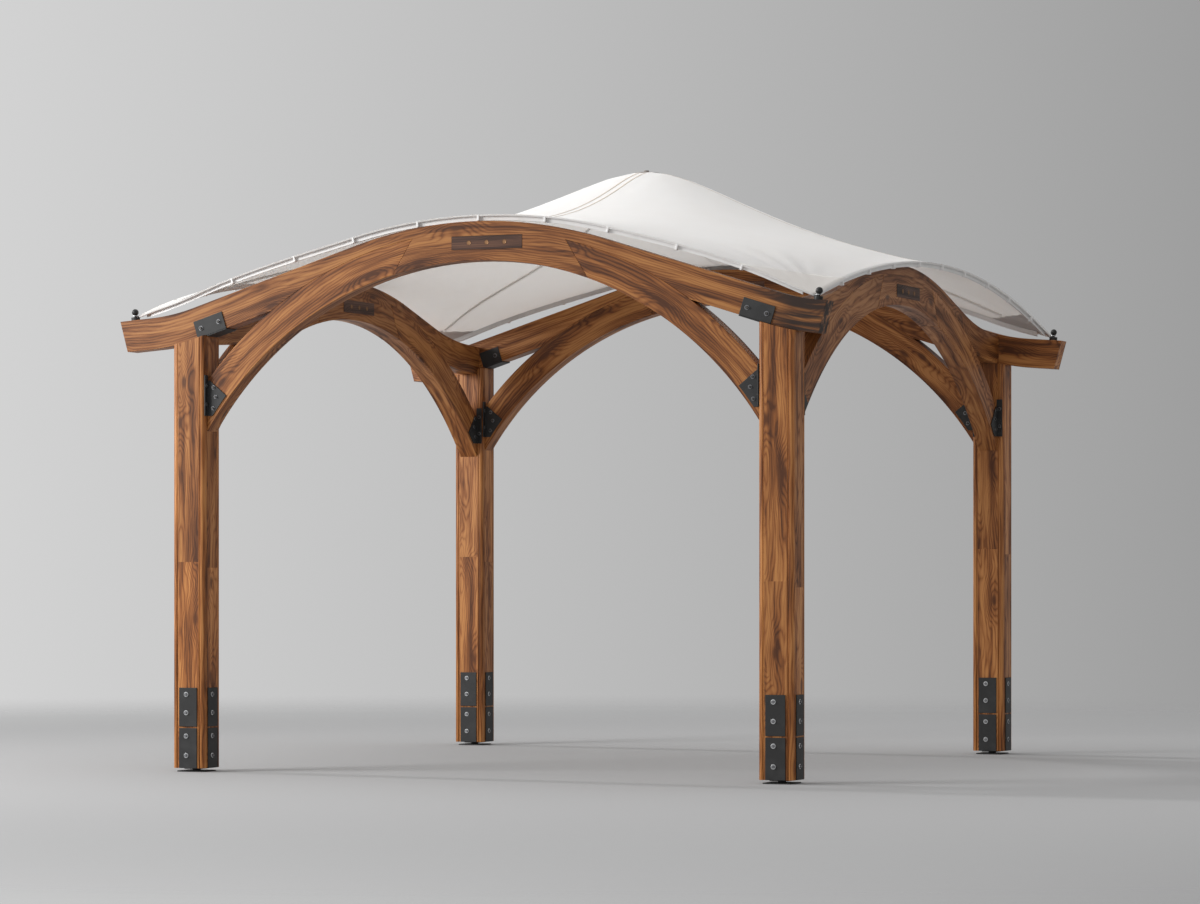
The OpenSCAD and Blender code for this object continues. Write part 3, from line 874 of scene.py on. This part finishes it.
# %% Canopy sheet
CLOTH_T = 0.0022
sheet_tree = BVHTree.FromBMesh(bm)
sheet_area = sum(f.calc_area() for f in bm.faces)
rim = [e for e in bm.edges if e.is_boundary]
rim_points = [(e.verts[0].co.copy(), e.verts[1].co.copy()) for e in rim]
whole_sheet = bm.copy()
bmesh.ops.solidify(bm, geom=bm.faces[:], thickness=CLOTH_T)
bmesh.ops.recalc_face_normals(bm, faces=bm.faces)
canopy = finish("canopy_sheet", bm, shade_cloth)
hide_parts("canopy")
low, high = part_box("canopy")
print("sheet area", round(sheet_area, 2), "faces", len(canopy.data.polygons))

# %% [markdown]
# The corners are doubled with a patch, where the eyelet sits. Each patch is a copy of the
# sheet's own surface, cut square across the corner and laid on it.

# %% Corner patches
PATCH_REACH = 0.27
PATCH_LIFT = 0.0002
PATCH_T = 0.0008

for corner in corners:
    patch = whole_sheet.copy()
    outward = Vector((corner.x, corner.y, 0)).normalized()
    geometry = patch.verts[:] + patch.edges[:] + patch.faces[:]
    bmesh.ops.bisect_plane(patch, geom=geometry, plane_co=corner - outward * PATCH_REACH,
                           plane_no=outward, clear_inner=True)
    bmesh.ops.translate(patch, verts=patch.verts, vec=(0, 0, PATCH_LIFT + PATCH_T))
    bmesh.ops.solidify(patch, geom=patch.faces[:], thickness=PATCH_T)
    bmesh.ops.recalc_face_normals(patch, faces=patch.faces)
    y_name = "front" if corner.y < 0 else "back"
    x_name = "left" if corner.x < 0 else "right"
    finish(f"canopy_patch_{y_name}_{x_name}", patch, patch_cloth)
whole_sheet.free()
print("patches made:", len(corners))

# %% [markdown]
# Panels of cloth are joined in flat seams: tapes that lie on the sheet from the peak to the
# middle of each edge, in pairs on the front and the back. A tape is dropped on the sheet
# from above, point by point, so that it follows every fold.

# %% Seams
TAPE_W = 0.011
TAPE_T = 0.0008
PAIR_OFFSET = 0.035
LONG_REACH, SHORT_REACH = 0.985, 0.965
CAP_CLEAR = 0.045


def dropped(x, y, lift):
    hit = sheet_tree.ray_cast(Vector((x, y, 5)), Vector((0, 0, -1)))[0]
    return None if hit is None else Vector((hit.x, hit.y, hit.z + lift))


def tape(bm, start_xy, end_xy, width, steps=70, lift=0.0014):
    """A flat strip between two places in plan, laid on the sheet."""
    path = (end_xy - start_xy).normalized()
    side = Vector((-path.y, path.x)) * width / 2
    rows = []
    for i in range(steps + 1):
        at = start_xy.lerp(end_xy, i / steps)
        pair = [dropped(*(at + s * side), lift) for s in (-1, 1)]
        if None not in pair:
            rows.append([bm.verts.new(p) for p in pair])
    for (a, b), (c, d) in zip(rows, rows[1:]):
        bm.faces.new((a, c, d, b))


peak_xy = peak.to_2d()
edge_middles = {"front": (0.0, low[1]), "back": (0.0, high[1]),
                "left": (low[0], 0.0), "right": (high[0], 0.0)}
bm = bmesh.new()
for name, (x, y) in edge_middles.items():
    paired = name in ("front", "back")
    target = peak_xy + (Vector((x, y)) - peak_xy) * (LONG_REACH if paired else SHORT_REACH)
    for offset in ((-PAIR_OFFSET, PAIR_OFFSET) if paired else (0.0,)):
        aside = Vector((offset, 0))
        tape(bm, peak_xy + aside * 0.6 + (target - peak_xy) * CAP_CLEAR, target + aside, TAPE_W)
bmesh.ops.recalc_face_normals(bm, faces=bm.faces)
bmesh.ops.solidify(bm, geom=bm.faces[:], thickness=TAPE_T)
bmesh.ops.recalc_face_normals(bm, faces=bm.faces)
finish("canopy_seams", bm, seam_tape)
print("seams laid")

# %% [markdown]
# The rim's own edges, pulled down and in, make the folded hem over the edge rail. A swept
# profile would drift off the sheet at the corners, and these edges cannot.

# %% Hem
HEM_DROP = 0.010
HEM_TUCK = 0.003
HEM_T = 0.0022
bm = bmesh.new()
made = {}
for a, b in rim_points:
    verts = []
    for point in (a, b):
        key = tuple(round(c, 5) for c in point)
        if key not in made:
            made[key] = bm.verts.new(point)
        verts.append(made[key])
    bm.edges.new(verts)
extruded = bmesh.ops.extrude_edge_only(bm, edges=bm.edges[:])
lowered = [g for g in extruded["geom"] if isinstance(g, bmesh.types.BMVert)]
middle_xy = Vector((0.0, 0.0))
for vertex in lowered:
    vertex.co.z -= HEM_DROP
    inward = (middle_xy - vertex.co.to_2d()).normalized() * HEM_TUCK
    vertex.co.x += inward.x
    vertex.co.y += inward.y
bmesh.ops.recalc_face_normals(bm, faces=bm.faces)
bmesh.ops.solidify(bm, geom=bm.faces[:], thickness=HEM_T)
bmesh.ops.recalc_face_normals(bm, faces=bm.faces)
finish("canopy_hem", bm, hem_tape)
print("hem made from", len(rim_points), "edges")

# %% [markdown]
# Small alloy clips hold the hem to the rail at even steps. Each is a cube stretched to size,
# turned to the rim's own direction where it sits, with its edges eased.

# %% Rail clips
CLIP_GAP = 0.36
CLIP_REACH = 1.75
CLIP_SIZE = (0.011, 0.024, 0.031)
CLIP_IN, CLIP_DOWN = 0.011, 0.0155
CLIP_COUNT_FROM = 9 * CLIP_GAP
bm = bmesh.new()
for a, b in rim_points:
    centre = (a + b) / 2
    direction = (b - a).normalized()
    along_x = abs(direction.x) > abs(direction.y)
    along_rim = centre.x if along_x else centre.y
    length = (b - a).to_2d().length
    if abs(along_rim) > CLIP_REACH or (along_rim + CLIP_COUNT_FROM) % CLIP_GAP > length:
        continue
    out = Vector((0, math.copysign(1, centre.y), 0)) if along_x else Vector(
        (math.copysign(1, centre.x), 0, 0))
    up = direction.cross(out).normalized()
    up = up if up.z > 0 else -up
    basis = Matrix((direction, out, up)).transposed().to_4x4()
    place = Matrix.Translation(centre - out * CLIP_IN - up * CLIP_DOWN)
    scale = Matrix.Diagonal((*CLIP_SIZE, 1))
    made_box = bmesh.ops.create_cube(bm, size=1.0, matrix=place @ basis @ scale)
    edges = {e for v in made_box["verts"] for e in v.link_edges}
    bmesh.ops.bevel(bm, geom=list(edges), offset=0.002, segments=2, profile=0.5,
                    affect="EDGES", clamp_overlap=True, material=-1)
finish("rail_clips", bm, alloy, smooth=False)
print("rail clips made")

# %% [markdown]
# A stretched sheet has the size it was cut to. A tape laid over the peak from edge to edge measures
# that size, once each way, and it is printed.

# %% Cut size


def over_sheet(start_xy, end_xy, steps=200):
    """The length of a tape laid on the sheet between two places in plan."""
    laid = [dropped(*start_xy.lerp(end_xy, i / steps), 0.0) for i in range(steps + 1)]
    points = [point for point in laid if point is not None]
    return sum((b - a).length for a, b in zip(points, points[1:]))


cut_width = over_sheet(Vector((low[0], peak.y)), Vector((high[0], peak.y)))
cut_depth = over_sheet(Vector((peak.x, low[1])), Vector((peak.x, high[1])))
print("cut size", round(cut_width, 3), round(cut_depth, 3))

# %% [markdown]
# Each corner is pulled to its pin by an eyelet ring that lies round the pin, on the patch.

# %% Corner eyelets
EYELET_R = 0.0125
EYELET_WIRE = 0.003
EYELET_UP = 0.0285
bm = bmesh.new()
for _, x_name in SIDES:
    for _, y_name in ENDS:
        low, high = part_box(f"anchor_{y_name}_{x_name}")
        centre = Vector(((low[0] + high[0]) / 2, (low[1] + high[1]) / 2, low[2] + EYELET_UP))
        beside = Matrix.Translation(centre + Vector((EYELET_R, 0, 0)))
        ring = bmesh.ops.create_circle(bm, segments=10, radius=EYELET_WIRE,
                                       matrix=beside @ Matrix.Rotation(math.pi / 2, 4, "X"))
        edges = list({e for v in ring["verts"] for e in v.link_edges})
        bmesh.ops.spin(bm, geom=edges, cent=centre, axis=(0, 0, 1), angle=math.tau, steps=28,
                       use_merge=True)
bmesh.ops.remove_doubles(bm, verts=bm.verts, dist=SAME_PLACE)
bmesh.ops.recalc_face_normals(bm, faces=bm.faces)
finish("corner_eyelets", bm, zinc)
print("eyelets made")

# %% [markdown]
# The stage is a pale floor that fades out round the pergola into a plain grey studio. It
# keeps the shadows near the feet and shows no horizon.

# %% Floor
FLOOR_R = 16.0
SOLID_R, CLEAR_R = 4.5, 13.0
floor_mesh = bpy.data.meshes.new("floor")
bm = bmesh.new()
bmesh.ops.create_circle(bm, cap_ends=True, segments=96, radius=FLOOR_R)
bm.to_mesh(floor_mesh)
bm.free()
floor = bpy.data.objects.new("floor", floor_mesh)
scene.collection.objects.link(floor)
material, net, shader = new_material("floor", (0.43, 0.43, 0.433), 0.9)
place = add(net, "TexCoord").outputs["Object"]
distance = add(net, "VectorMath", {0: place}, operation="LENGTH").outputs["Value"]
solid = add(net, "MapRange", {0: distance, 1: SOLID_R, 2: CLEAR_R, 3: 1.0, 4: 0.0},
            interpolation_type="SMOOTHSTEP").outputs[0]
net.links.new(solid, shader.inputs["Alpha"])
floor_mesh.materials.append(material)
print("floor radius", FLOOR_R)

# %% [markdown]
# The studio is a grey with painted light: it is painted lighter at the left and darker at the right,
# as falloff from a lamp on the left would be. The camera sees it, and so do glossy reflections, which
# is what steel and alloy show. All the world's other light is plain and even, so that the backdrop's
# tone never changes the colours of timber and cloth.

# %% World
LEFT_GREY, RIGHT_GREY = 0.66, 0.33
HALF_VIEW = 0.16
AMBIENT = 0.52
world = bpy.data.worlds.new("studio")
scene.world = world
world.use_nodes = True
net = world.node_tree
background = net.nodes["Background"]
toward_right = Vector((math.cos(VIEW_TURN), math.sin(VIEW_TURN), 0.0))
direction = add(net, "TexCoord").outputs["Generated"]
sideways = add(net, "VectorMath", {0: direction, 1: toward_right}, operation="DOT_PRODUCT")
# Painted light falloff: the backdrop grey runs from light at the left to dark at the right.
painted_falloff = add(net, "MapRange", {0: sideways.outputs["Value"], 1: -HALF_VIEW, 2: HALF_VIEW,
                             3: LEFT_GREY, 4: RIGHT_GREY}).outputs[0]
path = add(net, "LightPath")
seen = maths(net, "MAXIMUM", path.outputs["Is Camera Ray"], path.outputs["Is Glossy Ray"])
level = add(net, "Mix", {0: seen, 2: AMBIENT, 3: painted_falloff}).outputs[0]
net.links.new(vector(net, level, level, level), background.inputs["Color"])
print("studio greys", LEFT_GREY, "to", RIGHT_GREY)

# %% [markdown]
# A broad soft lamp stands to the left and front, one hangs overhead, and a weak one fills
# from the camera's side. A weak sun rakes in from the left and draws the shadows on the
# floor. Soft lamps suit timber, because hard ones would burn out the grain.

# %% Lamps


def area_lamp(name, place, target, size, power):
    data = bpy.data.lights.new(name, "AREA")
    data.shape = "RECTANGLE"
    data.size, data.size_y = size
    data.energy = power
    lamp = bpy.data.objects.new(name, data)
    lamp.location = place
    lamp.rotation_euler = (Vector(target) - Vector(place)).to_track_quat("-Z", "Y").to_euler()
    scene.collection.objects.link(lamp)


area_lamp("soft key", (-8.5, -7.5, 5.0), (0, 0, 1.6), (5.0, 4.0), 920)
area_lamp("overhead", (-1.0, 0.5, 8.5), (0, 0, 0), (6.0, 6.0), 170)
area_lamp("camera fill", (6.0, -13.0, 2.0), (0, 0, 1.5), (5.0, 3.0), 70)
sun_data = bpy.data.lights.new("raking", "SUN")
sun_data.energy = 0.8
sun_data.angle = math.radians(3)
sun = bpy.data.objects.new("raking", sun_data)
sun.rotation_euler = Vector((1.0, -0.13, -0.5)).to_track_quat("-Z", "Y").to_euler()
scene.collection.objects.link(sun)
